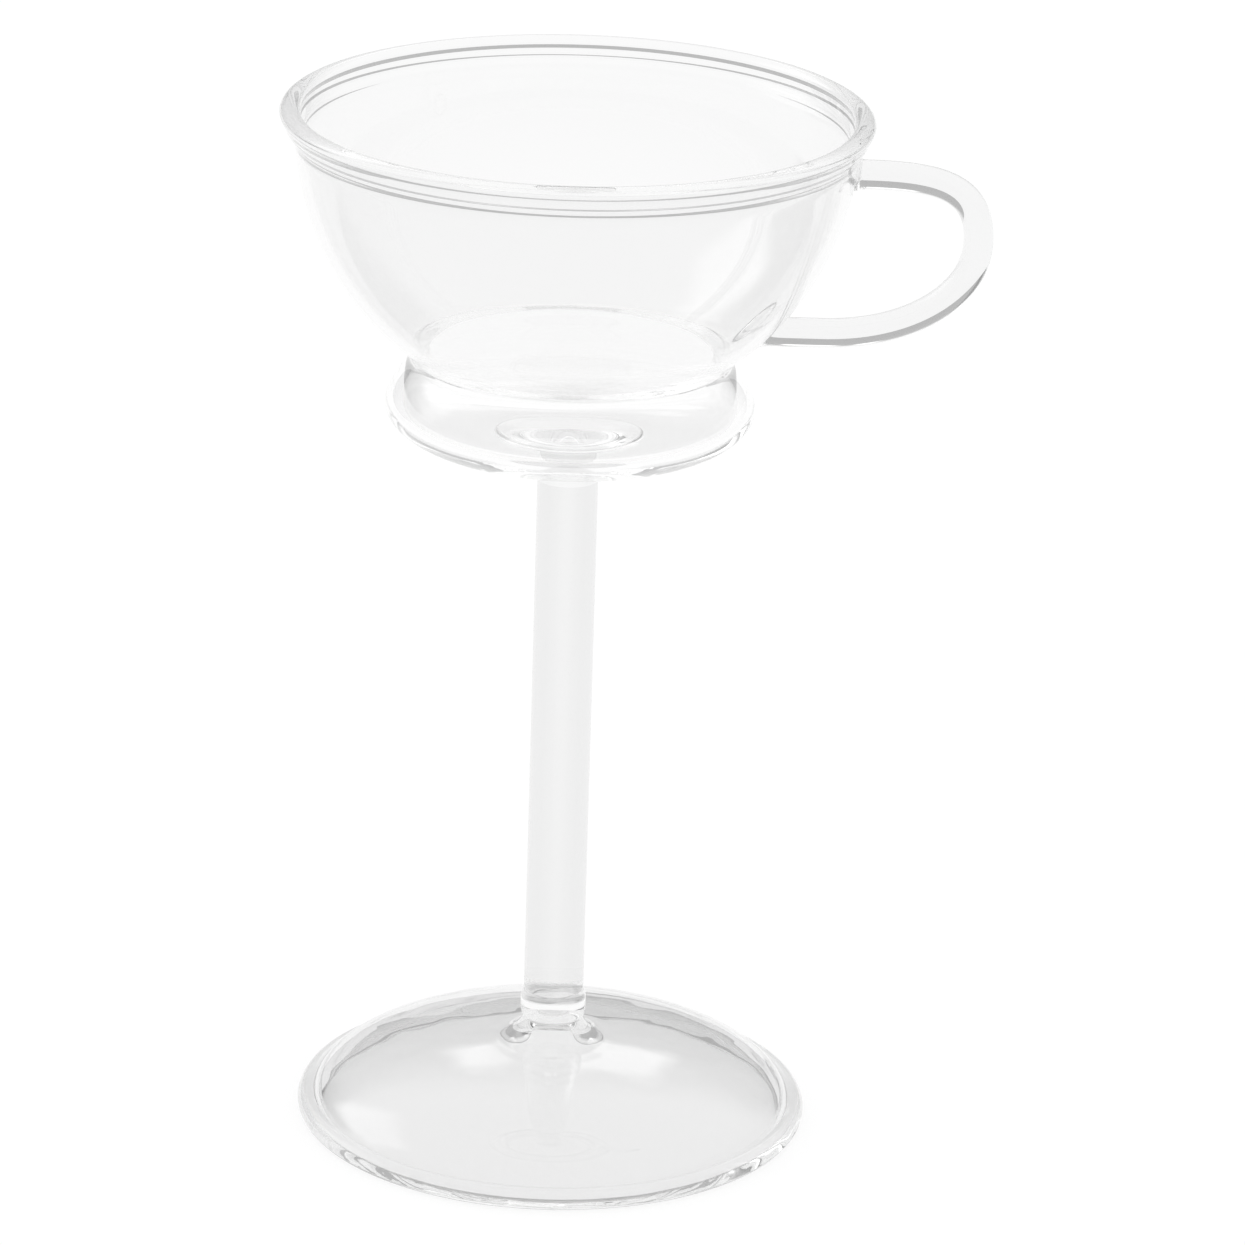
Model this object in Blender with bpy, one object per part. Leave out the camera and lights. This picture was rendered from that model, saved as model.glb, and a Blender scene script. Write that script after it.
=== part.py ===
"""A stemmed cup of clear glass: a teacup-shaped bowl with a loop handle, on a tall stem over a domed foot.

Metres, +Z up. The pieces are fused glass, modelled apart with a hair's gap where they meet. They are carried
by an empty on the stem's axis, set off the origin so that the origin is the middle of the part's footprint.
"""

import math

import bmesh
import bpy

# Overall
HEIGHT = 0.1800
RIM_RADIUS = 0.0493
GAP = 0.0003
SEGMENTS = 48
SHARP_ANGLE = 40

# Clear borosilicate glass, polished by the flame
GLASS_IOR = 1.47
GLASS_ROUGHNESS = 0.02

# Bowl: an oval cup whose lip turns out into a thick bead, which hangs lower on the outside
BOWL_RADIUS = 0.0468
BOWL_DEPTH = 0.0475
BOWL_WALL = 0.0016
BOWL_CENTRE_Z = HEIGHT - 0.0032
LIP_HALF_WIDTH = 0.0013
LIP_RISE = 0.0014
LIP_UNDER_WIDTH = 0.0018
LIP_UNDER_DROP = 0.0027
LIP_UNDER_END = -60
LIP_FILLET = 0.0010
LIP_INSIDE_END = 184
LIP_INSIDE_DROP = 0.0033
LIP_INSIDE_TURN = 0.0007

# Waist and hollow bulb
WAIST_RADIUS = 0.0262
THROAT_HEIGHT = 0.0024
THROAT_TURN = 0.0018
BULB_RADIUS = 0.0311
BULB_WALL = 0.0027
BULB_WIDEST_DROP = 0.0085
BULB_FLOOR_DROP = 0.0155
BULB_FLOOR_RADIUS = 0.0140
SHOULDER_TOP_PULL = 0.0020
SHOULDER_SIDE_PULL = 0.0030

# Stem and the glass that joins it to the bulb and the foot
STEM_RADIUS = 0.00515
BUTTON_RADIUS = 0.0125
BUTTON_HEIGHT = 0.0056
BUTTON_EDGE = 0.0007
BUTTON_TURN = 0.0014
COLLAR_RADIUS = 0.0059
COLLAR_HEIGHT = 0.0050
COLLAR_END_RADIUS = 0.0055

# Foot
FOOT_RADIUS = 0.0440
FOOT_EDGE = 0.0019
FOOT_EDGE_TOP = 115
FOOT_REST_WIDTH = 0.0014
FOOT_TOP_Z = 0.0175
DOME_RADIUS = 0.0415
DOME_RISE = 0.0120
FOOT_WALL = 0.0022
FOOT_HOLLOW_Z = 0.0010
TRUMPET_START = 0.0160
TRUMPET_PULL = 0.0080

# Handle: a rod of three runs, each drawn out along its ends
ROD_RADIUS = 0.0025
UPPER_ARM_Z = HEIGHT - 0.0100
UPPER_END_X = 0.0482
UPPER_PULL = 0.0126
LOOP_REACH = 0.0671
LOOP_REACH_Z = HEIGHT - 0.0209
LOOP_PULL_UP = 0.0090
LOOP_PULL_DOWN = 0.0093
LOWER_ARM_Z = HEIGHT - 0.0376
LOWER_BEND_X = 0.0419
LOWER_PULL = 0.0147
LOWER_END_X = 0.0360
PAD_RADIUS = 0.0029
PAD_INSET = 0.0090
PAD_TURN = 0.0022

# The heights of the lip, the waist and the pieces under it, and the axis
LIP_Z = HEIGHT - LIP_RISE
WAIST_ANGLE = math.acos(WAIST_RADIUS / BOWL_RADIUS)
WAIST_Z = BOWL_CENTRE_Z - BOWL_DEPTH * math.sin(WAIST_ANGLE)
THROAT_START_Z = WAIST_Z + THROAT_HEIGHT
BULB_TOP_Z = WAIST_Z - GAP
BULB_WIDEST_Z = BULB_TOP_Z - BULB_WIDEST_DROP
BULB_FLOOR_Z = BULB_TOP_Z - BULB_FLOOR_DROP
BUTTON_TOP_Z = BULB_FLOOR_Z - GAP
BUTTON_FOOT_Z = BUTTON_TOP_Z - BUTTON_HEIGHT
COLLAR_FOOT_Z = FOOT_TOP_Z + GAP
COLLAR_TOP_Z = COLLAR_FOOT_Z + COLLAR_HEIGHT
AXIS_X = -(LOOP_REACH + ROD_RADIUS - RIM_RADIUS) / 2


def clear_scene():
    for obj in list(bpy.data.objects):
        bpy.data.objects.remove(obj, do_unlink=True)


def clear_glass(name, tint):
    """Clear fire-polished glass, very slightly tinted where it is thick."""
    material = bpy.data.materials.new(name)
    material.use_nodes = True
    shader = material.node_tree.nodes["Principled BSDF"]
    shader.inputs["Base Color"].default_value = (*tint, 1)
    shader.inputs["Roughness"].default_value = GLASS_ROUGHNESS
    shader.inputs["Metallic"].default_value = 0
    shader.inputs["IOR"].default_value = GLASS_IOR
    shader.inputs["Transmission Weight"].default_value = 1
    return material


def arc(centre, across, up, start, end, steps):
    """Points (radius, height) on an oval, between two angles in degrees."""
    turns = [math.radians(start + (end - start) * i / steps) for i in range(steps + 1)]
    return [(centre[0] + across * math.cos(t), centre[1] + up * math.sin(t)) for t in turns]


def sweep(first, pull, last, steps):
    """Points (radius, height) on a quadratic curve from first to last, drawn towards pull."""
    points = []
    for i in range(steps + 1):
        t = i / steps
        points.append(tuple(
            (1 - t) ** 2 * a + 2 * t * (1 - t) * b + t * t * c
            for a, b, c in zip(first, pull, last)
        ))
    return points


def bezier(first, first_pull, last_pull, last, steps):
    """Points (radius, height) on a cubic curve from first to last, drawn towards its two pulls."""
    points = []
    for i in range(steps + 1):
        t = i / steps
        points.append(tuple(
            (1 - t) ** 3 * a + 3 * t * (1 - t) ** 2 * b + 3 * t * t * (1 - t) * c + t ** 3 * d
            for a, b, c, d in zip(first, first_pull, last_pull, last)
        ))
    return points


def oval_angle(centre_z, up, height):
    """The angle, in degrees, at which an oval on the axis passes a height."""
    return math.degrees(math.asin((height - centre_z) / up))


def turned_mesh(name, outline, ring=False):
    """The outline spun round Z: a closed loop for a ring, and otherwise a line with both ends on the axis."""
    mesh = bpy.data.meshes.new(name)
    bm = bmesh.new()
    points = [bm.verts.new((radius, 0, height)) for radius, height in outline]
    ends = points[1:] + points[:1] if ring else points[1:]
    edges = [bm.edges.new(pair) for pair in zip(points, ends)]
    bmesh.ops.spin(bm, geom=points + edges, axis=(0, 0, 1), cent=(0, 0, 0),
                   angle=2 * math.pi, steps=SEGMENTS, use_merge=True)
    bmesh.ops.remove_doubles(bm, verts=bm.verts, dist=GAP / 100)
    bmesh.ops.recalc_face_normals(bm, faces=bm.faces)
    bm.to_mesh(mesh)
    bm.free()
    mesh.shade_smooth()
    mesh.set_sharp_from_angle(angle=math.radians(SHARP_ANGLE))
    return mesh


def place(name, data, axis, material=None):
    """An object on the stem's axis, which carries it."""
    obj = bpy.data.objects.new(name, data)
    bpy.context.scene.collection.objects.link(obj)
    obj.parent = axis
    if material:
        data.materials.append(material)
    return obj


def bowl_wall(inset, top, bottom):
    """The bowl's oval outer wall between two heights, or a wall inset from it."""
    up = BOWL_DEPTH - inset
    return arc((0, BOWL_CENTRE_Z), BOWL_RADIUS - inset, up, oval_angle(BOWL_CENTRE_Z, up, top),
               oval_angle(BOWL_CENTRE_Z, up, bottom), 12)


def throat(inset):
    """The wall's last stretch above the waist, where it turns upright, or one inset from it."""
    first = bowl_wall(inset, BOWL_CENTRE_Z, THROAT_START_Z)[-1]
    across, up = BOWL_RADIUS - inset, BOWL_DEPTH - inset
    lean = (across / up) ** 2 * (BOWL_CENTRE_Z - THROAT_START_Z) / first[0]
    radius = first[0] - lean * THROAT_TURN
    return sweep(first, (radius, THROAT_START_Z - THROAT_TURN), (radius, WAIST_Z), 4)


def make_bowl(axis):
    """A thin cup, drawn as one closed outline: over the lip, down the outside and up the inside."""
    top = arc((RIM_RADIUS - LIP_HALF_WIDTH, LIP_Z), LIP_HALF_WIDTH, LIP_RISE, LIP_INSIDE_END, 0, 8)
    under = arc((RIM_RADIUS - LIP_UNDER_WIDTH, LIP_Z), LIP_UNDER_WIDTH, LIP_UNDER_DROP, 0, LIP_UNDER_END, 4)
    lean = -LIP_UNDER_WIDTH * math.tan(math.radians(LIP_UNDER_END)) / LIP_UNDER_DROP
    crease = (BOWL_RADIUS, under[-1][1] - (under[-1][0] - BOWL_RADIUS) / lean)
    share = LIP_FILLET / math.dist(under[-1], crease)
    fillet_start = [a + (b - a) * share for a, b in zip(crease, under[-1])]
    outside = bowl_wall(0, crease[1] - LIP_FILLET, THROAT_START_Z)
    fillet = sweep(fillet_start, crease, outside[0], 3)
    inside = bowl_wall(BOWL_WALL, THROAT_START_Z, top[0][1] - LIP_INSIDE_DROP)
    lip_inside = sweep(inside[-1], (inside[-1][0], top[0][1] - LIP_INSIDE_TURN), top[0], 4)
    outline = top + under[1:] + fillet + outside[1:] + throat(0)[1:]
    outline += throat(BOWL_WALL)[::-1] + inside[1:] + lip_inside[1:-1]
    return place("bowl", turned_mesh("bowl", outline, ring=True), axis,
                 clear_glass("blown_bowl_glass", (0.97, 0.98, 0.98)))


def shoulder(throat_radius, side_radius):
    """The bulb's wall from the waist out to its widest ring, upright at both ends."""
    return bezier((throat_radius, BULB_TOP_Z), (throat_radius, BULB_TOP_Z - SHOULDER_TOP_PULL),
                  (side_radius, BULB_WIDEST_Z + SHOULDER_SIDE_PULL), (side_radius, BULB_WIDEST_Z), 8)


def make_base_bulb(axis):
    corner = (BULB_FLOOR_RADIUS, BULB_WIDEST_Z)
    reach = BULB_RADIUS - BULB_FLOOR_RADIUS
    depth = BULB_WIDEST_Z - BULB_FLOOR_Z
    floor = [(0, BULB_FLOOR_Z + BULB_WALL)]
    inner_corner = arc(corner, reach - BULB_WALL, depth - BULB_WALL, -90, 0, 6)
    inner_wall = shoulder(throat(BOWL_WALL)[-1][0], BULB_RADIUS - BULB_WALL)
    outer_wall = shoulder(throat(0)[-1][0], BULB_RADIUS)
    outer_corner = arc(corner, reach, depth, 0, -90, 7)
    outline = floor + inner_corner + inner_wall[-2::-1] + outer_wall + outer_corner[1:] + [(0, BULB_FLOOR_Z)]
    return place("base_bulb", turned_mesh("base_bulb", outline), axis,
                 clear_glass("blown_bulb_glass", (0.96, 0.97, 0.97)))


def make_stem_top_weld(axis):
    edge_centre = (BUTTON_RADIUS - BUTTON_EDGE, BUTTON_TOP_Z - BUTTON_EDGE)
    edge = arc(edge_centre, BUTTON_EDGE, BUTTON_EDGE, 90, -60, 4)
    flare = sweep(edge[-1], (STEM_RADIUS, BUTTON_TOP_Z - BUTTON_TURN),
                  (STEM_RADIUS, BUTTON_FOOT_Z), 5)
    outline = [(0, BUTTON_TOP_Z)] + edge + flare[1:] + [(0, BUTTON_FOOT_Z)]
    return place("stem_top_weld", turned_mesh("stem_top_weld", outline), axis,
                 clear_glass("button_glass", (0.96, 0.97, 0.97)))


def make_stem(axis):
    top = BUTTON_FOOT_Z - GAP
    bottom = COLLAR_TOP_Z + GAP
    outline = [(0, top), (STEM_RADIUS, top), (STEM_RADIUS, bottom), (0, bottom)]
    return place("stem", turned_mesh("stem", outline), axis,
                 clear_glass("rod_stem_glass", (0.95, 0.97, 0.97)))


def make_stem_foot_weld(axis):
    belly = sweep((COLLAR_END_RADIUS, COLLAR_TOP_Z),
                  (2 * COLLAR_RADIUS - COLLAR_END_RADIUS, (COLLAR_TOP_Z + COLLAR_FOOT_Z) / 2),
                  (COLLAR_END_RADIUS, COLLAR_FOOT_Z), 6)
    outline = [(0, COLLAR_TOP_Z)] + belly + [(0, COLLAR_FOOT_Z)]
    return place("stem_foot_weld", turned_mesh("stem_foot_weld", outline), axis,
                 clear_glass("collar_glass", (0.95, 0.96, 0.96)))


def make_foot(axis):
    edge_centre = (FOOT_RADIUS - FOOT_EDGE, FOOT_EDGE)
    edge = arc(edge_centre, FOOT_EDGE, FOOT_EDGE, FOOT_EDGE_TOP, -90, 8)
    edge_start = edge[0]
    rest = (edge_centre[0] - FOOT_REST_WIDTH, 0)
    rise_at_edge = DOME_RISE * math.sqrt(1 - (edge_start[0] / DOME_RADIUS) ** 2)
    dome_z = edge_start[1] - rise_at_edge
    dome = arc((0, dome_z), DOME_RADIUS, DOME_RISE,
               math.degrees(math.acos(TRUMPET_START / DOME_RADIUS)),
               math.degrees(math.acos(edge_start[0] / DOME_RADIUS)), 10)
    lean = (DOME_RISE / DOME_RADIUS) ** 2 * TRUMPET_START / (dome[0][1] - dome_z)
    pull = (TRUMPET_PULL, dome[0][1] + lean * (TRUMPET_START - TRUMPET_PULL))
    trumpet = sweep((COLLAR_END_RADIUS, FOOT_TOP_Z), pull, dome[0], 6)
    hollow_rise = dome_z + DOME_RISE - FOOT_WALL - FOOT_HOLLOW_Z
    hollow = arc((0, FOOT_HOLLOW_Z), DOME_RADIUS - FOOT_WALL, hollow_rise, 0, 90, 9)
    outline = [(0, FOOT_TOP_Z)] + trumpet + dome[1:] + edge[1:] + [rest] + hollow
    return place("foot", turned_mesh("foot", outline), axis,
                 clear_glass("pressed_foot_glass", (0.95, 0.96, 0.96)))


def make_handle(axis):
    """One bent rod in the plane of X and Z, from under the lip round the loop and back to the bowl."""
    curve = bpy.data.curves.new("handle", "CURVE")
    curve.dimensions = "3D"
    curve.bevel_depth = ROD_RADIUS
    curve.bevel_resolution = 4
    curve.resolution_u = 12
    curve.use_fill_caps = True
    straight = (LOWER_BEND_X - LOWER_END_X) / 3
    stops = (
        ((UPPER_END_X, UPPER_ARM_Z), (1, 0), UPPER_PULL, UPPER_PULL),
        ((LOOP_REACH, LOOP_REACH_Z), (0, -1), LOOP_PULL_UP, LOOP_PULL_DOWN),
        ((LOWER_BEND_X, LOWER_ARM_Z), (-1, 0), LOWER_PULL, straight),
        ((LOWER_END_X, LOWER_ARM_Z), (-1, 0), straight, straight),
    )
    spline = curve.splines.new("BEZIER")
    spline.bezier_points.add(len(stops) - 1)
    for point, ((x, z), (along_x, along_z), before, after) in zip(spline.bezier_points, stops):
        point.handle_left_type = "FREE"
        point.handle_right_type = "FREE"
        point.co = (x, 0, z)
        point.handle_left = (x - along_x * before, 0, z - along_z * before)
        point.handle_right = (x + along_x * after, 0, z + along_z * after)
    return place("handle", curve, axis, clear_glass("rod_handle_glass", (0.95, 0.97, 0.97)))


def make_bowl_clearance(axis):
    """The bowl's outside as a solid, a gap larger, to hollow the pads where they meet the wall."""
    wall = bowl_wall(-GAP, BOWL_CENTRE_Z, WAIST_Z)
    outline = [(0, wall[0][1])] + wall + [(0, wall[-1][1])]
    cutter = place("bowl_clearance", turned_mesh("bowl_clearance", outline), axis)
    cutter.hide_render = True
    cutter.display_type = "WIRE"
    return cutter


def make_handle_weld(axis, cutter, name, rod_end_x, height):
    """A pad between a rod's end and the bowl, flared at the bowl and hollowed to lie against its wall."""
    flare = sweep((ROD_RADIUS, 0), (ROD_RADIUS, -PAD_TURN), (PAD_RADIUS, -PAD_INSET), 5)
    mesh = turned_mesh(name, [(0, 0)] + flare + [(0, -PAD_INSET)])
    pad = place(name, mesh, axis, clear_glass(name + "_glass", (0.96, 0.97, 0.97)))
    pad.location = (rod_end_x - GAP, 0, height)
    pad.rotation_euler = (0, math.radians(90), 0)
    cut = pad.modifiers.new("against_bowl", "BOOLEAN")
    cut.operation = "DIFFERENCE"
    cut.object = cutter
    return pad


def main():
    clear_scene()
    axis = bpy.data.objects.new("stem_axis", None)
    bpy.context.scene.collection.objects.link(axis)
    axis.location = (AXIS_X, 0, 0)
    make_bowl(axis)
    make_base_bulb(axis)
    make_stem_top_weld(axis)
    make_stem(axis)
    make_stem_foot_weld(axis)
    make_foot(axis)
    make_handle(axis)
    cutter = make_bowl_clearance(axis)
    make_handle_weld(axis, cutter, "handle_upper_weld", UPPER_END_X, UPPER_ARM_Z)
    make_handle_weld(axis, cutter, "handle_lower_weld", LOWER_END_X, LOWER_ARM_Z)


main()
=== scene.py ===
# A stemmed cup of clear, lamp-worked glass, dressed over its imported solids.
# Every piece is a closed mesh of its own. Where two pieces are fused, both hold the same ring of points and a
# face with no surface, so light runs through the joint as it does through one body of glass.
import math

import bmesh
import bpy
from mathutils import Matrix, Vector


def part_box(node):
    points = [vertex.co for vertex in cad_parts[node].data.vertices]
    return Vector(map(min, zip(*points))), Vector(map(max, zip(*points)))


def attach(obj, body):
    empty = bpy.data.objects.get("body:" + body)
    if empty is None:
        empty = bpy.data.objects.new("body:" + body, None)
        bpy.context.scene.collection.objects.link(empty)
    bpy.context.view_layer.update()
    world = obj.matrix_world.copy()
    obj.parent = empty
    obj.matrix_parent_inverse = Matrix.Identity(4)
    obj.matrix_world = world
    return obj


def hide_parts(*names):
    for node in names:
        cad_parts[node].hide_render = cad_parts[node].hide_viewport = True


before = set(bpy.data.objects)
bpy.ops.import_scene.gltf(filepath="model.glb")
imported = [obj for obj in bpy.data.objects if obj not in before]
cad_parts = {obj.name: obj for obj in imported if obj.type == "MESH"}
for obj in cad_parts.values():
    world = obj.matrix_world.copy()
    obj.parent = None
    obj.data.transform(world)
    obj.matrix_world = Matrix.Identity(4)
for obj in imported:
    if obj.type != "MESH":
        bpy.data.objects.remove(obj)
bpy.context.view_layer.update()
print("frame loaded:", ", ".join(sorted(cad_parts)))

mm = 0.001  # sizes below are in millimetres
photoSide = 1245  # pixels, both ways

# What all the turned pieces share
turning = {
    "steps": 192,  # round the axis
    "merge": 0.001,  # closes the seam and the poles
    "sharp": 50,  # degrees, past which an edge isn't shaded smooth
}


# Small tools

def hexColour(code):
    parts = [int(code[i:i + 2], 16) / 255 for i in (1, 3, 5)]
    return [p / 12.92 if p <= 0.04045 else ((p + 0.055) / 1.055) ** 2.4 for p in parts] + [1]


def addNode(tree, kind, settings=None, **inputs):
    node = tree.nodes.new(kind)
    for name, value in (settings or {}).items():
        setattr(node, name, value)
    for key, value in inputs.items():
        name = int(key[1:]) if key[0] == "_" else key.replace("_", " ")  # _0, _1 for inputs of the same name
        if isinstance(value, bpy.types.NodeSocket):
            tree.links.new(value, node.inputs[name])
        else:
            node.inputs[name].default_value = value
    return node


def arcPoints(centre, across, up, start, end, steps):
    turns = [math.radians(start + (end - start) * i / steps) for i in range(steps + 1)]
    return [(centre[0] + across * math.cos(t), centre[1] + up * math.sin(t)) for t in turns]


def sweepPoints(first, pull, last, steps):  # a quadratic curve, drawn towards pull
    curve = []
    for i in range(steps + 1):
        t = i / steps
        weights = ((1 - t) ** 2, 2 * t * (1 - t), t * t)
        curve.append(tuple(sum(w * p[axis] for w, p in zip(weights, (first, pull, last))) for axis in (0, 1)))
    return curve


def bezierPoints(first, firstPull, lastPull, last, steps):
    curve = []
    for i in range(steps + 1):
        t = i / steps
        weights = ((1 - t) ** 3, 3 * t * (1 - t) ** 2, 3 * t * t * (1 - t), t ** 3)
        curve.append(sum((w * p for w, p in zip(weights, (first, firstPull, lastPull, last))), Vector()))
    return curve


def straightPoints(first, last, steps):
    middle = ((first[0] + last[0]) / 2, (first[1] + last[1]) / 2)
    return sweepPoints(first, middle, last, steps)


def ovalAngle(centreZ, up, height):
    return math.degrees(math.asin((height - centreZ) / up))


def frozen(piece):  # the modifiers' result becomes the piece's own mesh
    view = bpy.context.evaluated_depsgraph_get()
    mesh = bpy.data.meshes.new_from_object(piece.evaluated_get(view))
    mesh.name = piece.name
    piece.modifiers.clear()
    piece.data = mesh


def facedOut(piece):
    bm = bmesh.new()
    bm.from_mesh(piece.data)
    if bm.calc_volume(signed=True) < 0:
        bmesh.ops.reverse_faces(bm, faces=bm.faces)
    bm.to_mesh(piece.data)
    bm.free()
    piece.data.shade_smooth()
    piece.data.set_sharp_from_angle(angle=math.radians(turning["sharp"]))
    return piece


def withTree(piece, tree, values):
    modifier = piece.modifiers.new(tree.name, "NODES")
    modifier.node_group = tree
    for item in tree.interface.items_tree:
        if item.in_out == "INPUT" and item.name in values:
            modifier[item.identifier] = values[item.name]


def newTree(name, inputs):
    tree = bpy.data.node_groups.new(name, "GeometryNodeTree")
    tree.is_modifier = True
    for label, kind in inputs.items():
        tree.interface.new_socket(name=label, in_out="INPUT", socket_type="NodeSocket" + kind)
    tree.interface.new_socket(name="Piece", in_out="OUTPUT", socket_type="NodeSocketGeometry")
    return tree


# Glass
glassSet = {
    "ior": 1.47,  # borosilicate
    "waveDetail": 1.5,
    "waveRoughness": 0.4,
    "hazeDetail": 3,
    "hazeRange": (0.35, 0.75),  # where the noise goes from polished to hazy
    "edgeShadeRange": (0.01, 0.1),  # how far a rod's side turns away before its painted edge shade starts and is full
}


def flameGlass(name, look):
    # Borosilicate glass melted in a flame: clear, glossy, and never quite even, so that a line seen through
    # it or mirrored in it wavers. The grain is the size of its waves along each axis, in millimetres.
    material = bpy.data.materials.new(name)
    material.use_nodes = True
    tree = material.node_tree
    shader = tree.nodes["Principled BSDF"]
    shader.inputs["Base Color"].default_value = hexColour(look["tint"])
    shader.inputs["IOR"].default_value = glassSet["ior"]
    shader.inputs["Transmission Weight"].default_value = 1
    if "edgeShade" in look:  # painted shade: the rod's tint turns greyer towards its sides, seen edge on, where they look darker than its core
        facing = addNode(tree, "ShaderNodeLayerWeight").outputs["Facing"]
        near, far = glassSet["edgeShadeRange"]
        edge = addNode(tree, "ShaderNodeMapRange", Value=facing, From_Min=near, From_Max=far).outputs[0]
        grey = addNode(tree, "ShaderNodeMix", {"data_type": "RGBA"}, _0=edge, _6=hexColour(look["tint"]),
                       _7=hexColour(look["edgeShade"])).outputs[2]
        tree.links.new(grey, shader.inputs["Base Color"])
    place = addNode(tree, "ShaderNodeTexCoord").outputs["Object"]
    scale = [1 / (size * mm) for size in look["grain"]]
    grain = addNode(tree, "ShaderNodeMapping", Vector=place, Scale=scale).outputs["Vector"]
    waves = addNode(tree, "ShaderNodeTexNoise", Vector=grain, Scale=1, Detail=glassSet["waveDetail"],
                    Roughness=glassSet["waveRoughness"])
    bump = addNode(tree, "ShaderNodeBump", Strength=1, Distance=look["depth"] * mm,
                   Height=waves.outputs["Fac"])
    tree.links.new(bump.outputs["Normal"], shader.inputs["Normal"])
    haze = addNode(tree, "ShaderNodeTexNoise", Vector=place, Scale=1 / (look["haze"] * mm),
                   Detail=glassSet["hazeDetail"])
    clear, hazy = glassSet["hazeRange"]
    smooth, dull = look["polish"]
    polish = addNode(tree, "ShaderNodeMapRange", Value=haze.outputs["Fac"], From_Min=clear, From_Max=hazy,
                     To_Min=smooth, To_Max=dull)
    tree.links.new(polish.outputs["Result"], shader.inputs["Roughness"])
    return material


def fusedJoint():
    # No surface: two pieces melted into one have no face between them
    material = bpy.data.materials.new("flame_fused_joint")
    material.use_nodes = True
    material.node_tree.nodes["Principled BSDF"].inputs["Alpha"].default_value = 0
    return material


joint = fusedJoint()


# Turned pieces: an outline spun round the stem's axis

def turnTree():
    tree = newTree("turn an outline", {"Outline": "Geometry", "Axis X": "Float", "Rows": "Int",
                                       "Turn Steps": "Int", "Merge": "Float",
                                       "Glass": "Material", "Fused Joint": "Material"})
    given = addNode(tree, "NodeGroupInput").outputs
    columns = addNode(tree, "ShaderNodeMath", {"operation": "ADD"}, _0=given["Turn Steps"], _1=1).outputs[0]
    grid = addNode(tree, "GeometryNodeMeshGrid", Vertices_X=given["Rows"], Vertices_Y=columns).outputs["Mesh"]
    spot = addNode(tree, "GeometryNodeInputPosition").outputs[0]
    along = addNode(tree, "ShaderNodeSeparateXYZ", Vector=spot).outputs
    last = addNode(tree, "ShaderNodeMath", {"operation": "SUBTRACT"}, _0=given["Rows"], _1=1).outputs[0]
    half = addNode(tree, "ShaderNodeMath", {"operation": "MULTIPLY"}, _0=last, _1=0.5).outputs[0]
    row = addNode(tree, "ShaderNodeMath", {"operation": "MULTIPLY_ADD"}, _0=along["X"], _1=last,
                  _2=half).outputs[0]
    nearest = addNode(tree, "ShaderNodeMath", {"operation": "ROUND"}, _0=row).outputs[0]
    below = addNode(tree, "ShaderNodeMath", {"operation": "FLOOR"}, _0=row).outputs[0]
    marked = addNode(tree, "GeometryNodeStoreNamedAttribute", {"data_type": "FLOAT", "domain": "FACE"},
                     Geometry=grid, Name="run", Value=below).outputs["Geometry"]
    point = addNode(tree, "GeometryNodeSampleIndex", {"data_type": "FLOAT_VECTOR"},
                    Geometry=given["Outline"], Value=spot, Index=nearest).outputs["Value"]
    profile = addNode(tree, "ShaderNodeSeparateXYZ", Vector=point).outputs
    turn = addNode(tree, "ShaderNodeMath", {"operation": "MULTIPLY"}, _0=along["Y"],
                   _1=2 * math.pi).outputs[0]
    cosine = addNode(tree, "ShaderNodeMath", {"operation": "COSINE"}, _0=turn).outputs[0]
    sine = addNode(tree, "ShaderNodeMath", {"operation": "SINE"}, _0=turn).outputs[0]
    x = addNode(tree, "ShaderNodeMath", {"operation": "MULTIPLY_ADD"}, _0=profile["X"], _1=cosine,
                _2=given["Axis X"]).outputs[0]
    y = addNode(tree, "ShaderNodeMath", {"operation": "MULTIPLY"}, _0=profile["X"], _1=sine).outputs[0]
    spun = addNode(tree, "ShaderNodeCombineXYZ", X=x, Y=y, Z=profile["Z"]).outputs[0]
    moved = addNode(tree, "GeometryNodeSetPosition", Geometry=marked, Position=spun).outputs["Geometry"]
    merged = addNode(tree, "GeometryNodeMergeByDistance", Geometry=moved, Distance=given["Merge"]).outputs[0]
    flag = addNode(tree, "GeometryNodeInputNamedAttribute", {"data_type": "FLOAT"}, Name="joint").outputs[0]
    run = addNode(tree, "GeometryNodeInputNamedAttribute", {"data_type": "FLOAT"}, Name="run").outputs[0]
    fused = addNode(tree, "GeometryNodeSampleIndex", {"data_type": "FLOAT", "domain": "EDGE"},
                    Geometry=given["Outline"], Value=flag, Index=run).outputs["Value"]
    real = addNode(tree, "GeometryNodeRealizeInstances", Geometry=merged).outputs["Geometry"]
    glass = addNode(tree, "GeometryNodeSetMaterial", Geometry=real, Material=given["Glass"]).outputs[0]
    ends = addNode(tree, "GeometryNodeSetMaterial", Geometry=glass, Selection=fused,
                   Material=given["Fused Joint"]).outputs[0]
    addNode(tree, "NodeGroupOutput", Piece=ends)
    return tree


turnOutline = turnTree()


def turnedPiece(name, runs, glass):
    # runs is a list of (points, is it a fused joint), each starting where the last one ended
    points = [runs[0][0][0]]
    flags = []
    for run, fused in runs:
        for point in run:
            if math.dist(point, points[-1]) > turning["merge"] * mm:
                points.append(point)
                flags.append(float(fused))
    mesh = bpy.data.meshes.new(name)
    mesh.from_pydata([(r, 0, z) for r, z in points], [(i, i + 1) for i in range(len(flags))], [])
    mesh.attributes.new("joint", "FLOAT", "EDGE").data.foreach_set("value", flags)
    piece = bpy.data.objects.new(name, mesh)
    bpy.context.scene.collection.objects.link(piece)
    withTree(piece, turnOutline, {"Axis X": axisX, "Rows": len(points), "Turn Steps": turning["steps"],
                                  "Merge": turning["merge"] * mm, "Glass": glass, "Fused Joint": joint})
    frozen(piece)
    piece.data.attributes.remove(piece.data.attributes["run"])
    return facedOut(piece)


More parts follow.
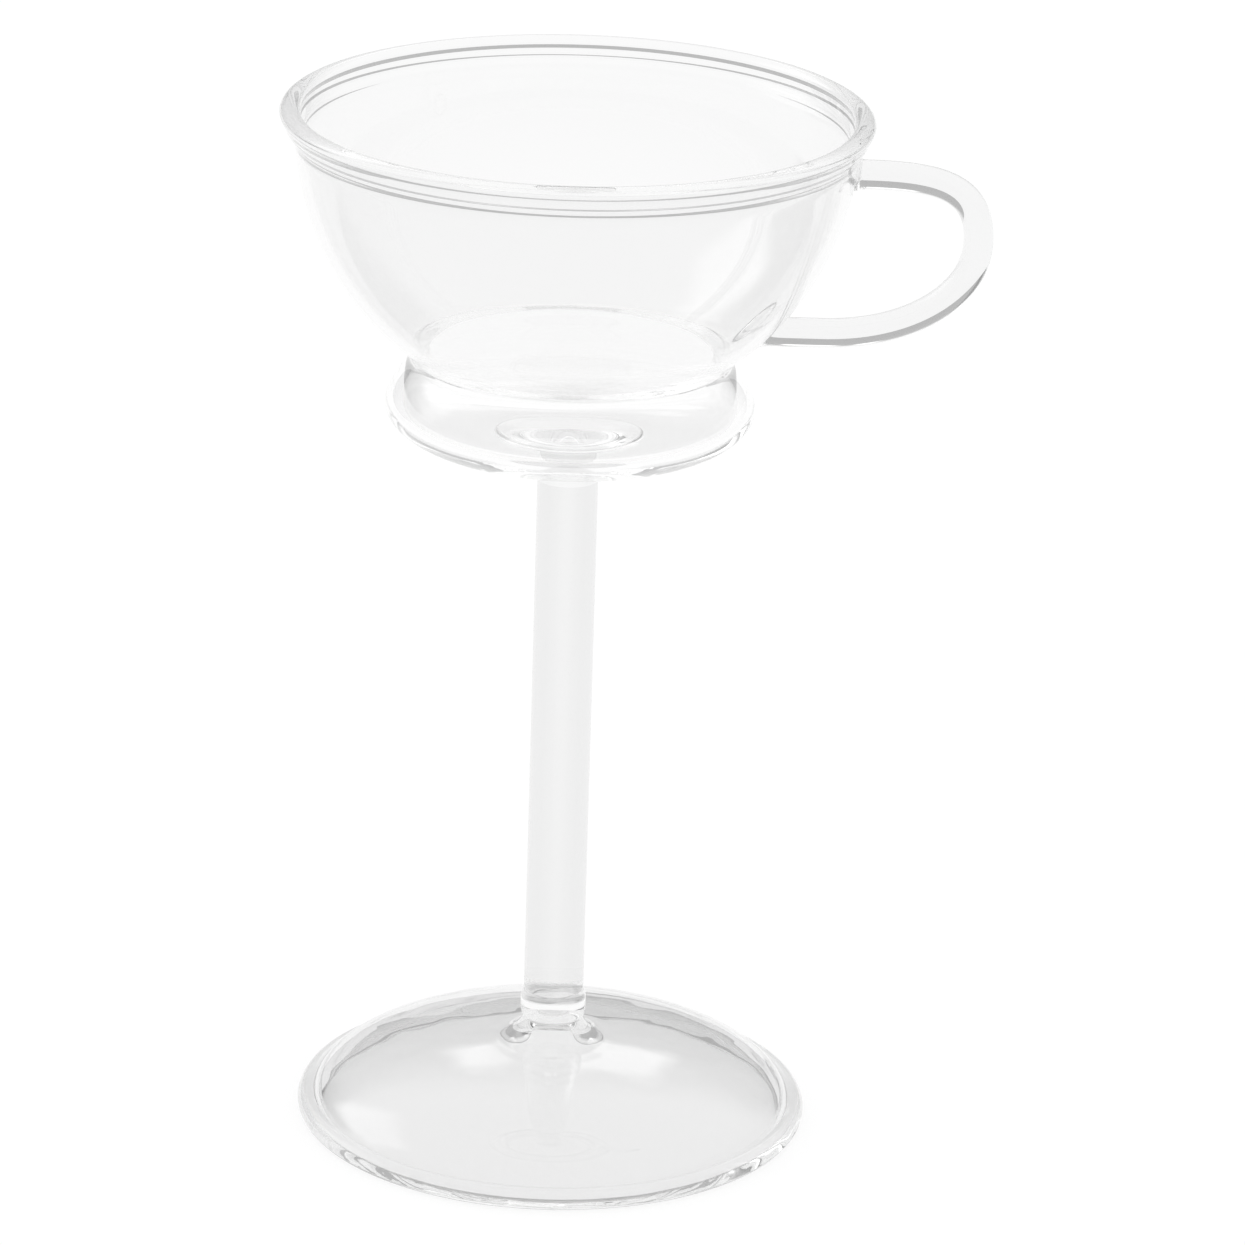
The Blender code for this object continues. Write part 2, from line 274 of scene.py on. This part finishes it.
def nodeSpan(node):  # middle, radius, bottom and top of a turned node
    low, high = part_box(node)
    return (low.x + high.x) / 2, (high.x - low.x) / 2, low.z, high.z


def between(lower, upper):  # the height at which two fused nodes meet, in the middle of their gap
    return (nodeSpan(lower)[3] + nodeSpan(upper)[2]) / 2


axisX, stemRadius = nodeSpan("stem")[:2]
rimRadius, rimZ = nodeSpan("bowl")[1], nodeSpan("bowl")[3]
bulbRadius = nodeSpan("base_bulb")[1]
footRadius = nodeSpan("foot")[1]
waistZ = between("base_bulb", "bowl")
bulbFloorZ = between("stem_top_weld", "base_bulb")
buttonFootZ = between("stem", "stem_top_weld")
collarTopZ = between("stem_foot_weld", "stem")
footTopZ = between("foot", "stem_foot_weld")

# Bowl: a thin blown cup whose lip flares out to a round fire-polished bead
bowlSet = {
    "bodyRadius": 46.8,
    "depth": 47.5,
    "centreDrop": 3.2,  # below the rim
    "wall": 1.6,
    "lipHalfWidth": 1.74,
    "lipRise": 1.27,
    "underWidth": 0.84,  # the bead's outer side, down to where the slanted flare leaves it
    "underDrop": 1.03,
    "underEnd": -35,  # degrees
    "flareRidge": (0.47, 0.13, 0.5),  # a faint ring on the flare: share of the way down, height, half width
    "fillet": 0.99,  # how far the turn from the flare into the wall reaches
    "insideEnd": 205,  # degrees, so that the bead stands a little proud on the inside too
    "insideDrop": 2.47,
    "insidePull": (0.4, 0.17),  # shares of the way from the wall to the bead
    "throat": 2.4,  # the height over which the wall turns upright at the waist
    "throatShare": 0.75,  # of that height, over which the wall's slope still draws it in
    "steps": {"bead": 44, "under": 30, "flare": 48, "turn": 16, "wall": 64, "throat": 10, "inside": 24},
    "glass": {"tint": "#F8F8F8", "grain": (26, 26, 7), "depth": 0.012, "haze": 18, "polish": (0, 0.012)},
}
bowlCentreZ = rimZ - bowlSet["centreDrop"] * mm


def wallRadius(z, inset=0):
    up = (bowlSet["depth"] - inset) * mm
    return (bowlSet["bodyRadius"] - inset) * mm * math.sqrt(1 - ((z - bowlCentreZ) / up) ** 2)


def wallRun(inset, top, bottom, steps):  # along the bowl's oval wall, from one height to another
    across = (bowlSet["bodyRadius"] - inset) * mm
    up = (bowlSet["depth"] - inset) * mm
    return arcPoints((0, bowlCentreZ), across, up, ovalAngle(bowlCentreZ, up, top),
                     ovalAngle(bowlCentreZ, up, bottom), steps)


def throatRun(inset):  # the oval wall runs on into an upright throat at the waist
    start = waistZ + bowlSet["throat"] * mm
    up = (bowlSet["depth"] - inset) * mm
    across = (bowlSet["bodyRadius"] - inset) * mm
    first = (wallRadius(start, inset), start)
    slope = across ** 2 * (start - bowlCentreZ) / (up ** 2 * first[0])  # how fast the wall draws in
    throat = first[0] + slope * bowlSet["throat"] * mm * bowlSet["throatShare"]
    pull = (throat, start - (throat - first[0]) / slope)
    return sweepPoints(first, pull, (throat, waistZ), bowlSet["steps"]["throat"])


outerThroat = throatRun(0)
innerThroat = throatRun(bowlSet["wall"])


def flareRun(first, last, steps):  # the slanted flare under the bead, with its faint ring
    place, tall, half = bowlSet["flareRidge"]
    slant = last - first
    out = Vector((-slant.y, slant.x)).normalized()
    run = []
    for i in range(steps + 1):
        off = (i / steps - place) * slant.length / (half * mm)
        run.append(tuple(first + slant * i / steps + out * tall * mm * math.exp(-off * off)))
    return run


def makeBowl():
    s = {name: value * mm for name, value in bowlSet.items() if isinstance(value, float)}
    steps = bowlSet["steps"]
    lipZ = rimZ - s["lipRise"]
    bead = arcPoints((rimRadius - s["lipHalfWidth"], lipZ), s["lipHalfWidth"], s["lipRise"],
                     bowlSet["insideEnd"], 0, steps["bead"])
    under = arcPoints((rimRadius - s["underWidth"], lipZ), s["underWidth"], s["underDrop"],
                      0, bowlSet["underEnd"], steps["under"])
    lean = -s["underWidth"] * math.tan(math.radians(bowlSet["underEnd"])) / s["underDrop"]
    crease = Vector((s["bodyRadius"], under[-1][1] - (under[-1][0] - s["bodyRadius"]) / lean))
    turnStart = crease + (Vector(under[-1]) - crease).normalized() * s["fillet"]
    flare = flareRun(Vector(under[-1]), turnStart, steps["flare"])
    outside = wallRun(0, crease.y - s["fillet"], outerThroat[0][1], steps["wall"])
    turn = sweepPoints(turnStart, crease, outside[0], steps["turn"])
    inside = wallRun(bowlSet["wall"], innerThroat[0][1], bead[0][1] - s["insideDrop"], steps["wall"])
    pull = [a + (b - a) * share for a, b, share in zip(inside[-1], bead[0], bowlSet["insidePull"])]
    lipInside = sweepPoints(inside[-1], pull, bead[0], steps["inside"])
    runs = [(bead, False), (under, False), (flare, False), (turn, False), (outside, False),
            (outerThroat, False), ([innerThroat[-1]], True), (innerThroat[::-1], False), (inside, False),
            (lipInside, False)]
    return turnedPiece("blown_bowl", runs, flameGlass("blown_bowl_glass", bowlSet["glass"]))


# Bulb: squat and hollow, blown in one with the waist
bulbSet = {
    "wall": 2.7,
    "widest": 8.5,  # below the waist
    "floorRadius": 14.0,
    "throat": 2.0,  # how far the throat's upright and the side's upright reach into the shoulder
    "shoulder": 3.0,
    "buttonRadius": 12.0,  # where the button is fused on
    "steps": {"floorIn": 12, "cornerIn": 24, "wall": 30, "cornerOut": 30, "floorOut": 6},
    "glass": {"tint": "#FEFEFE", "grain": (16, 16, 5), "depth": 0.02, "haze": 12, "polish": (0, 0.015)},
}


def shoulderRun(throat, radius, widestZ, steps):  # from the upright throat out to the bulb's widest ring
    corners = (throat, (throat[0], throat[1] - bulbSet["throat"] * mm),
               (radius, widestZ + bulbSet["shoulder"] * mm), (radius, widestZ))
    curve = bezierPoints(*(Vector((r, 0, z)) for r, z in corners), steps)
    return [(point.x, point.z) for point in curve]


def makeBulb():
    steps = bulbSet["steps"]
    wall = bulbSet["wall"] * mm
    widestZ = waistZ - bulbSet["widest"] * mm
    corner = (bulbSet["floorRadius"] * mm, widestZ)
    reach = bulbRadius - corner[0]
    depth = widestZ - bulbFloorZ
    buttonRadius = bulbSet["buttonRadius"] * mm
    floorIn = straightPoints((0, bulbFloorZ + wall), (corner[0], bulbFloorZ + wall), steps["floorIn"])
    cornerIn = arcPoints(corner, reach - wall, depth - wall, -90, 0, steps["cornerIn"])
    wallIn = shoulderRun(innerThroat[-1], bulbRadius - wall, widestZ, steps["wall"])
    wallOut = shoulderRun(outerThroat[-1], bulbRadius, widestZ, steps["wall"])
    cornerOut = arcPoints(corner, reach, depth, 0, -90, steps["cornerOut"])
    floorOut = straightPoints(cornerOut[-1], (buttonRadius, bulbFloorZ), steps["floorOut"])
    runs = [(floorIn, False), (cornerIn, False), (wallIn[::-1], False), ([outerThroat[-1]], True),
            (wallOut, False), (cornerOut, False), (floorOut, False), ([(0, bulbFloorZ)], True)]
    return turnedPiece("hollow_bulb", runs, flameGlass("blown_bulb_glass", bulbSet["glass"]))


# Stem: a drawn rod, with the button that fuses it to the bulb and the collar that fuses it to the foot
stemSet = {
    "buttonEdge": 0.7,
    "buttonUnder": -60,  # degrees, where the button's round edge meets its flare
    "buttonTurn": 1.4,
    "collarSwell": 0.7,  # half width of the collar's round side
    "collarTurn": 75,  # degrees up and down from its middle, where that side meets the stem and the foot
    "steps": {"edge": 12, "flare": 20, "rod": 60, "collar": 24},
    # the edge shade colour is painted shade on the rod's sides, not a colour of the glass
    "glass": {"tint": "#F3F3F3", "edgeShade": "#ECECEC", "grain": (2.2, 2.2, 45), "depth": 0.004, "haze": 9,
              "polish": (0, 0.015)},
    "weldGlass": {"tint": "#FAFAFA", "grain": (4, 4, 3), "depth": 0.02, "haze": 6, "polish": (0, 0.02)},
}


def makeStem():
    weldGlass = flameGlass("flame_fused_weld_glass", stemSet["weldGlass"])
    rodGlass = flameGlass("drawn_rod_glass", stemSet["glass"])
    steps = stemSet["steps"]
    buttonRadius = bulbSet["buttonRadius"] * mm
    edgeSize = stemSet["buttonEdge"] * mm
    edge = arcPoints((buttonRadius, bulbFloorZ - edgeSize), edgeSize, edgeSize, 90, stemSet["buttonUnder"],
                     steps["edge"])
    flare = sweepPoints(edge[-1], (stemRadius, bulbFloorZ - stemSet["buttonTurn"] * mm),
                        (stemRadius, buttonFootZ), steps["flare"])
    button = turnedPiece("stem_button", [([(0, bulbFloorZ), edge[0]], True), (edge, False), (flare, False),
                                         ([(0, buttonFootZ)], True)], weldGlass)
    side = straightPoints((stemRadius, buttonFootZ), (stemRadius, collarTopZ), steps["rod"])
    rod = turnedPiece("stem_rod", [([(0, buttonFootZ), side[0]], True), (side, False),
                                   ([(0, collarTopZ)], True)], rodGlass)
    turn = math.radians(stemSet["collarTurn"])
    swell = stemSet["collarSwell"] * mm
    middle = (stemRadius - swell * math.cos(turn), (collarTopZ + footTopZ) / 2)
    halfHeight = (collarTopZ - footTopZ) / 2 / math.sin(turn)
    belly = arcPoints(middle, swell, halfHeight, stemSet["collarTurn"], -stemSet["collarTurn"],
                      steps["collar"])
    collar = turnedPiece("stem_collar", [([(0, collarTopZ), belly[0]], True), (belly, False),
                                         ([(0, footTopZ)], True)], weldGlass)
    return button, rod, collar


# Foot: a dome with a hollow underneath and a thick fire-polished edge
footSet = {
    "edge": 1.9,  # radius of the round edge
    "edgeTop": 115,  # degrees, where the dome meets the round edge
    "restWidth": 1.4,  # of the flat ring that it stands on
    "domeRadius": 41.5,
    "domeRise": 12.0,
    "wall": 2.2,
    "hollowZ": 1.0,  # the height at which the hollow's oval is widest
    "trumpet": 10.5,  # the radius at which the dome turns up to the neck
    "trumpetPull": 6.4,
    "hollowTurn": 10.3,  # the hollow follows the trumpet up into the neck, at about the same thickness
    "hollowPull": 4.5,
    "hollowNeck": (3.4, 15.0),  # radius and height
    "hollowTop": (2.6, 17.2),
    "steps": {"rim": 36, "dome": 60, "neck": 24, "cap": 12},
    # The tint is darker than the rest of the glass: painted shade, for the shaded floor seen through the foot
    "glass": {"tint": "#EFEFEF", "grain": (15, 15, 10), "depth": 0.25, "haze": 15, "polish": (0, 0.015)},
}


def onSlope(point, centreZ, across, up, radius):  # where an oval's slope at a point reaches a smaller radius
    lean = (up / across) ** 2 * point[0] / (point[1] - centreZ)
    return radius, point[1] + lean * (point[0] - radius)


def makeFoot():
    steps = footSet["steps"]
    edge = footSet["edge"] * mm
    dome = footSet["domeRadius"] * mm
    rise = footSet["domeRise"] * mm
    wall = footSet["wall"] * mm
    hollowZ = footSet["hollowZ"] * mm
    edgeCentre = (footRadius - edge, edge)
    rim = arcPoints(edgeCentre, edge, edge, footSet["edgeTop"], -90, steps["rim"])
    rest = (edgeCentre[0] - footSet["restWidth"] * mm, 0)
    domeZ = rim[0][1] - rise * math.sqrt(1 - (rim[0][0] / dome) ** 2)
    top = arcPoints((0, domeZ), dome, rise, math.degrees(math.acos(footSet["trumpet"] * mm / dome)),
                    math.degrees(math.acos(rim[0][0] / dome)), steps["dome"])
    neckPull = onSlope(top[0], domeZ, dome, rise, footSet["trumpetPull"] * mm)
    neck = sweepPoints((stemRadius, footTopZ), neckPull, top[0], steps["neck"])
    within, high = dome - wall, domeZ + rise - wall - hollowZ
    hollowEnd = math.degrees(math.acos(footSet["hollowTurn"] * mm / within))
    hollow = arcPoints((0, hollowZ), within, high, 0, hollowEnd, steps["dome"])
    hollowPull = onSlope(hollow[-1], hollowZ, within, high, footSet["hollowPull"] * mm)
    narrow, tip = ([size * mm for size in footSet[name]] for name in ("hollowNeck", "hollowTop"))
    funnel = sweepPoints(hollow[-1], hollowPull, narrow, steps["neck"])
    cap = sweepPoints(narrow, tip, (0, tip[1]), steps["cap"])
    runs = [([(0, footTopZ), neck[0]], True), (neck, False), (top, False), (rim, False),
            ([rest], False), (hollow, False), (funnel, False), (cap, False)]
    return turnedPiece("domed_foot", runs, flameGlass("spun_foot_glass", footSet["glass"]))


# Handle: one bent rod, fused to the bowl through a flared pad at each end
handleSet = {
    "upperArm": 10.0,  # below the rim
    "upperEnd": 48.2,  # from the axis
    "upperPull": 12.6,  # how far a run is drawn out along its end, here and below
    "reachDrop": 20.9,  # where the loop stands out furthest, below the rim
    "pullUp": 9.0,
    "pullDown": 9.3,
    "lowerArm": 37.6,
    "lowerBend": 41.9,  # where the bend ends and the straight lower arm starts
    "lowerPull": 14.7,
    "lowerEnd": 36.0,
    "rod": 2.5,  # radius
    "sides": 48,
    "stepsPerRun": 48,
    "padFoot": 3.2,  # radius of the weld on the bowl's wall
    "padRings": 14,
    "armSteps": 8,
    "patch": 3.6,  # radius of the wall that is rebuilt round a weld
    "patchRings": 2,
    "padGlass": {"tint": "#F4F4F4", "grain": (4, 4, 3), "depth": 0.02, "haze": 6, "polish": (0, 0.02)},
    "glass": {"tint": "#F4F4F4", "grain": (7, 7, 7), "depth": 0.01, "haze": 7, "polish": (0, 0.015)},
}


def handlePath():
    s = {name: value * mm for name, value in handleSet.items() if isinstance(value, float)}
    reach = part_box("handle")[1].x - s["rod"]
    start = Vector((axisX + s["upperEnd"], 0, rimZ - s["upperArm"]))
    far = Vector((reach, 0, rimZ - s["reachDrop"]))
    bend = Vector((axisX + s["lowerBend"], 0, rimZ - s["lowerArm"]))
    end = Vector((axisX + s["lowerEnd"], 0, rimZ - s["lowerArm"]))
    out, up = Vector((1, 0, 0)), Vector((0, 0, 1))
    steps = handleSet["stepsPerRun"]
    upper = bezierPoints(start, start + out * s["upperPull"], far + up * s["pullUp"], far, steps)
    lower = bezierPoints(far, far - up * s["pullDown"], bend + out * s["lowerPull"], bend, steps)
    armSteps = handleSet["armSteps"]
    arm = [bend.lerp(end, (i + 1) / armSteps) for i in range(armSteps)]
    return upper + lower[1:] + arm


def rodTree():
    tree = newTree("sweep a rod", {"Path": "Geometry", "Radius": "Float", "Sides": "Int",
                                   "Glass": "Material", "Fused Joint": "Material"})
    given = addNode(tree, "NodeGroupInput").outputs
    path = addNode(tree, "GeometryNodeMeshToCurve", Mesh=given["Path"]).outputs[0]
    section = addNode(tree, "GeometryNodeCurvePrimitiveCircle", Resolution=given["Sides"],
                      Radius=given["Radius"]).outputs["Curve"]
    swept = addNode(tree, "GeometryNodeCurveToMesh", Curve=path, Profile_Curve=section,
                    Fill_Caps=True).outputs[0]
    corners = addNode(tree, "GeometryNodeInputMeshFaceNeighbors").outputs["Vertex Count"]
    caps = addNode(tree, "ShaderNodeMath", {"operation": "GREATER_THAN"}, _0=corners, _1=4).outputs[0]
    real = addNode(tree, "GeometryNodeRealizeInstances", Geometry=swept).outputs["Geometry"]
    glass = addNode(tree, "GeometryNodeSetMaterial", Geometry=real, Material=given["Glass"]).outputs[0]
    ends = addNode(tree, "GeometryNodeSetMaterial", Geometry=glass, Selection=caps,
                   Material=given["Fused Joint"]).outputs[0]
    addNode(tree, "NodeGroupOutput", Piece=ends)
    return tree


def makeHandle():
    path = handlePath()
    mesh = bpy.data.meshes.new("handle_rod")
    mesh.from_pydata(path, [(i, i + 1) for i in range(len(path) - 1)], [])
    rod = bpy.data.objects.new("handle_rod", mesh)
    bpy.context.scene.collection.objects.link(rod)
    glass = flameGlass("bent_rod_glass", handleSet["glass"])
    withTree(rod, rodTree(), {"Radius": handleSet["rod"] * mm, "Sides": handleSet["sides"],
                              "Glass": glass, "Fused Joint": joint})
    frozen(rod)
    bm = bmesh.new()
    bm.from_mesh(rod.data)
    bmesh.ops.remove_doubles(bm, verts=bm.verts, dist=turning["merge"] * mm)
    bm.to_mesh(rod.data)
    bm.free()
    return facedOut(rod)


def rodEnds(rod):  # the rings of points at the rod's two ends, upper one first
    rings = []
    for face in rod.data.polygons:
        if len(face.vertices) > 4:  # only the end caps have more corners
            rings.append([rod.data.vertices[i].co.copy() for i in face.vertices])
    return sorted(rings, key=lambda ring: -ring[0].z)


def onWall(y, z):  # the point of the bowl's outside that faces the handle at this height
    return Vector((axisX + math.sqrt(wallRadius(z) ** 2 - y * y), y, z))


def turnOf(point, middle):  # a point's direction round the rod's end
    return math.atan2(point.z - middle.z, point.y)


def weldFoot(ring, middle, radius):  # a ring of points on the wall round a weld
    turns = [turnOf(point, middle) for point in ring]
    return [onWall(radius * math.cos(t), middle.z + radius * math.sin(t)) for t in turns]


def makePad(name, ring, glass):
    middle = sum(ring, Vector()) / len(ring)
    rod = handleSet["rod"] * mm
    foot = handleSet["padFoot"] * mm
    bm = bmesh.new()
    loops = [[bm.verts.new(point) for point in ring]]
    for i in range(1, handleSet["padRings"] + 1):
        turn = math.pi / 2 * i / handleSet["padRings"]
        radius = rod + (foot - rod) * (1 - math.cos(turn))
        wall = weldFoot(ring, middle, radius)
        loops.append([])
        for point, onto in zip(ring, wall):
            x = point.x + (onto.x - point.x) * math.sin(turn)
            loops[-1].append(bm.verts.new((x, onto.y, onto.z)))
    for near, far in zip(loops, loops[1:]):
        for i in range(len(ring)):
            bm.faces.new((near[i - 1], near[i], far[i], far[i - 1]))
    caps = [bm.faces.new(loops[0]), bm.faces.new(loops[-1])]
    bmesh.ops.recalc_face_normals(bm, faces=bm.faces)
    for cap in caps:
        cap.material_index = 1
    mesh = bpy.data.meshes.new(name)
    bm.to_mesh(mesh)
    bm.free()
    mesh.materials.append(glass)
    mesh.materials.append(joint)
    pad = bpy.data.objects.new(name, mesh)
    bpy.context.scene.collection.objects.link(pad)
    return facedOut(pad)


def openWall(bowl, ring):
    # The wall round a weld is rebuilt: it gets the weld's own ring of points and no surface inside that
    middle = sum(ring, Vector()) / len(ring)
    patch = handleSet["patch"] * mm
    halfWall = bowlSet["wall"] * mm / 2
    bm = bmesh.new()
    bm.from_mesh(bowl.data)
    under = []
    for face in bm.faces:
        spot = face.calc_center_median()
        if spot.z > bowlCentreZ or spot.x < axisX:
            continue
        outer = math.hypot(spot.x - axisX, spot.y) > wallRadius(spot.z) - halfWall
        if outer and math.hypot(spot.y, spot.z - middle.z) < patch + halfWall:
            under.append(face)
    bmesh.ops.delete(bm, geom=under, context="FACES")
    edge = [e for e in bm.edges if e.is_boundary]
    rings = handleSet["patchRings"]
    radii = [patch - (patch - handleSet["padFoot"] * mm) * i / rings for i in range(rings + 1)]
    loops = [[bm.verts.new(point) for point in weldFoot(ring, middle, radius)] for radius in radii]
    first = [bm.edges.new((loops[0][i - 1], loops[0][i])) for i in range(len(ring))]
    bmesh.ops.bridge_loops(bm, edges=edge + first)
    for near, far in zip(loops, loops[1:]):
        for i in range(len(ring)):
            bm.faces.new((near[i - 1], near[i], far[i], far[i - 1]))
    weld = bm.faces.new(loops[-1])
    bmesh.ops.recalc_face_normals(bm, faces=bm.faces)
    weld.material_index = 1
    bm.to_mesh(bowl.data)
    bm.free()
    facedOut(bowl)


bowl = makeBowl()
bulb = makeBulb()
button, stem, collar = makeStem()
foot = makeFoot()
handle = makeHandle()
upperRing, lowerRing = rodEnds(handle)
padGlass = flameGlass("flame_fused_pad_glass", handleSet["padGlass"])
upperPad = makePad("handle_upper_pad", upperRing, padGlass)
lowerPad = makePad("handle_lower_pad", lowerRing, padGlass)
openWall(bowl, upperRing)
openWall(bowl, lowerRing)
print("glass pieces made")

pieces = (
    (bowl, "bowl", "bowl_glass"),
    (bulb, "base_bulb", "bulb_glass"),
    (button, "stem_top_weld", "weld_glass"),
    (stem, "stem", "stem_glass"),
    (collar, "stem_foot_weld", "weld_glass"),
    (foot, "foot", "foot_glass"),
    (handle, "handle", "handle_glass"),
    (upperPad, "handle_upper_weld", "weld_glass"),
    (lowerPad, "handle_lower_weld", "weld_glass"),
)
for piece, node, slot in pieces:
    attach(piece, "root")
    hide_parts(node)
    print(piece.name, "stands for", node, "with", len(piece.data.polygons), "faces")


# Stage: white floor, soft light and the camera

stageSet = {
    "floorRadius": 12000,
    "floorSides": 96,
    "floorDrop": 0.1,  # under the foot's rest, so that the two faces don't share a place
    "floor": "#FAFAFA",
    "ownWhite": 0.9,  # how much of the floor's white is its own, for eyes and for glass
    "room": ((5, 0.85), (40, 1.1)),  # elevation and how bright, 1 being white: walls that are lit from above
    # Parts of the room that the glass mirrors and bends: middle as azimuth and elevation, half width, half
    # height and soft edge, all in degrees, then how bright. Azimuth 90 is straight behind the cup.
    "roomParts": (
        (92, 12, 44, 24, 10, 0.5),  # far wall behind, in shade
        (140, 8, 18, 14, 5, 0.25),  # dark corner at the back on the left
        (154, 34, 18, 14, 5, 1.8),  # softbox on the left
        (96.5, 30.5, 2.2, 4, 1.5, 1.5),  # two windows behind
        (84.5, 30.5, 4.7, 4, 1.5, 1.5),
    ),
    "fill": (-90, 82, 2600, (2400, 2400), 1.0),  # azimuth, elevation, distance, size and glow
    "fillAim": 100,  # the height on the axis that it faces
    "bounces": 400,  # light caught in a glass wall turns many times before it gets out
    "jointsCrossed": 32,  # faces with no surface that a ray may pass
}


def makeFloor():
    mesh = bpy.data.meshes.new("floor")
    bm = bmesh.new()
    bmesh.ops.create_circle(bm, cap_ends=True, segments=stageSet["floorSides"],
                            radius=stageSet["floorRadius"] * mm)
    bm.to_mesh(mesh)
    bm.free()
    mesh.transform(Matrix.Translation((0, 0, -stageSet["floorDrop"] * mm)))
    floor = bpy.data.objects.new("floor", mesh)
    bpy.context.scene.collection.objects.link(floor)
    material = bpy.data.materials.new("white_paper")
    material.use_nodes = True
    tree = material.node_tree
    tree.nodes.clear()
    paper = addNode(tree, "ShaderNodeBsdfDiffuse", Color=hexColour(stageSet["floor"])).outputs[0]
    white = addNode(tree, "ShaderNodeEmission", Strength=1).outputs[0]
    path = addNode(tree, "ShaderNodeLightPath").outputs
    eye = addNode(tree, "ShaderNodeMath", {"operation": "MAXIMUM"}, _0=path["Is Camera Ray"],
                  _1=path["Is Glossy Ray"]).outputs[0]
    seen = addNode(tree, "ShaderNodeMath", {"operation": "MAXIMUM"}, _0=eye,
                   _1=path["Is Transmission Ray"]).outputs[0]
    share = addNode(tree, "ShaderNodeMath", {"operation": "MULTIPLY"}, _0=seen,
                    _1=stageSet["ownWhite"]).outputs[0]
    both = addNode(tree, "ShaderNodeMixShader", _0=share, _1=paper, _2=white).outputs[0]
    addNode(tree, "ShaderNodeOutputMaterial", Surface=both)
    mesh.materials.append(material)


def makeRoom():
    world = bpy.data.worlds.new("studio")
    world.use_nodes = True
    bpy.context.scene.world = world
    tree = world.node_tree
    tree.nodes.clear()
    way = addNode(tree, "ShaderNodeTexCoord").outputs["Generated"]
    (low, dim), (high, bright) = stageSet["room"]
    rise = addNode(tree, "ShaderNodeSeparateXYZ", Vector=way).outputs["Z"]
    level = addNode(tree, "ShaderNodeMapRange", Value=rise, From_Min=math.sin(math.radians(low)),
                    From_Max=math.sin(math.radians(high)), To_Min=dim, To_Max=bright).outputs[0]
    for azimuth, elevation, width, height, soft, glow in stageSet["roomParts"]:
        turn = (0, -math.radians(elevation), math.radians(azimuth))
        facing = addNode(tree, "ShaderNodeMapping", {"vector_type": "TEXTURE"}, Vector=way,
                         Rotation=turn).outputs[0]
        part = addNode(tree, "ShaderNodeSeparateXYZ", Vector=facing).outputs
        share = addNode(tree, "ShaderNodeMath", {"operation": "GREATER_THAN"}, _0=part["X"], _1=0).outputs[0]
        for side, reach in (("Y", width), ("Z", height)):
            angle = addNode(tree, "ShaderNodeMath", {"operation": "ARCTAN2"}, _0=part[side],
                            _1=part["X"]).outputs[0]
            off = addNode(tree, "ShaderNodeMath", {"operation": "ABSOLUTE"}, _0=angle).outputs[0]
            inside = addNode(tree, "ShaderNodeMapRange", {"interpolation_type": "SMOOTHSTEP"}, Value=off,
                             From_Min=math.radians(reach - soft), From_Max=math.radians(reach + soft),
                             To_Min=1, To_Max=0).outputs[0]
            share = addNode(tree, "ShaderNodeMath", {"operation": "MULTIPLY"}, _0=share,
                            _1=inside).outputs[0]
        level = addNode(tree, "ShaderNodeMix", {"data_type": "FLOAT"}, _0=share, _2=level,
                        _3=glow).outputs[0]
    room = addNode(tree, "ShaderNodeBackground", Color=(1, 1, 1, 1), Strength=level).outputs[0]
    white = addNode(tree, "ShaderNodeBackground", Color=(1, 1, 1, 1)).outputs[0]
    path = addNode(tree, "ShaderNodeLightPath").outputs
    both = addNode(tree, "ShaderNodeMixShader", _0=path["Is Camera Ray"], _1=room, _2=white).outputs[0]
    addNode(tree, "ShaderNodeOutputWorld", Surface=both)


def makeLamp(name, azimuth, elevation, distance, size, glow):
    lamp = bpy.data.lights.new(name, "AREA")
    lamp.shape = "RECTANGLE"
    lamp.size, lamp.size_y = (side * mm for side in size)
    lamp.energy = glow * math.pi * lamp.size * lamp.size_y  # a glow of 1 makes its face look white
    light = bpy.data.objects.new(name, lamp)
    bpy.context.scene.collection.objects.link(light)
    turn, rise = math.radians(azimuth), math.radians(elevation)
    way = Vector((math.cos(turn) * math.cos(rise), math.sin(turn) * math.cos(rise), math.sin(rise)))
    light.location = Vector((axisX, 0, stageSet["fillAim"] * mm)) + way * distance * mm
    light.rotation_euler = (-way).to_track_quat("-Z", "Y").to_euler()
    light.visible_camera = False
    return light


cameraSet = {
    "distance": 1060.2,  # from the stem's axis, level
    "height": 467.9,
    "yaw": 0.538,  # degrees, as the next two
    "pitch": 19.615,
    "roll": 1.796,
    "focalPixels": 6635.5,
    "sensor": 36,
}


def makeCamera():
    lens = bpy.data.cameras.new("camera")
    lens.sensor_width = cameraSet["sensor"]
    lens.lens = cameraSet["focalPixels"] * cameraSet["sensor"] / photoSide
    camera = bpy.data.objects.new("camera", lens)
    bpy.context.scene.collection.objects.link(camera)
    yaw, pitch, roll = (math.radians(cameraSet[name]) for name in ("yaw", "pitch", "roll"))
    level = Matrix.Rotation(-yaw, 4, "Z") @ Matrix.Rotation(math.pi / 2 - pitch, 4, "X")
    place = (axisX, -cameraSet["distance"] * mm, cameraSet["height"] * mm)
    camera.matrix_world = Matrix.Translation(place) @ level @ Matrix.Rotation(roll, 4, "Z")
    bpy.context.scene.camera = camera


makeFloor()
makeRoom()
fill = makeLamp("overhead_fill", *stageSet["fill"])  # lights the floor, and isn't mirrored in the glass
fill.visible_glossy = False
fill.visible_transmission = False
makeCamera()
scene = bpy.context.scene
scene.view_settings.view_transform = "Standard"
scene.cycles.max_bounces = stageSet["bounces"]
scene.cycles.glossy_bounces = stageSet["bounces"]
scene.cycles.transmission_bounces = stageSet["bounces"]
scene.cycles.transparent_max_bounces = stageSet["jointsCrossed"]
print("stage, light and camera set")
